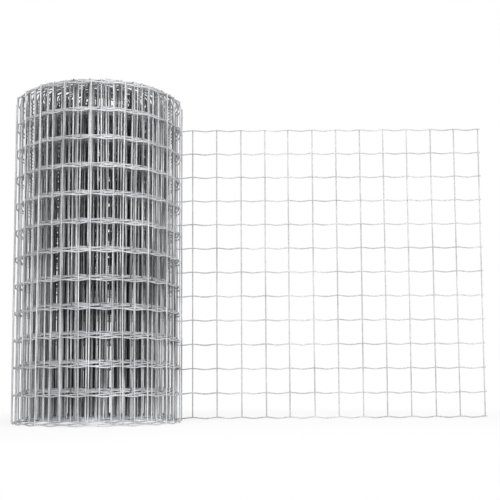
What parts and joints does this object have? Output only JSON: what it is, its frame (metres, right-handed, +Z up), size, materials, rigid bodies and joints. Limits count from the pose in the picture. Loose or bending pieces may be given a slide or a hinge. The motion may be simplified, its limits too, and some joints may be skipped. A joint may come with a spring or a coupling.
{
  "type": "roll of wire fencing",
  "caption": "Upright roll of galvanised welded wire fencing with square cells, wound round an open bore, with its free end drawn out flat.",
  "frame": {"origin": "on the axis of the bore, at the lower end of the roll", "axes": "+Z up along the bore, +X along the drawn-out free end, +Y towards the side that the free end leaves from"},
  "size_m": [0.9306, 0.3294, 0.6048],
  "materials": {
    "galvanised_wire": "bright hot-dip zinc, slightly dull"
  },
  "bodies": {
    "root": {"wound_roll": "galvanised_wire", "free_end": "galvanised_wire"}
  },
  "joints": []
}
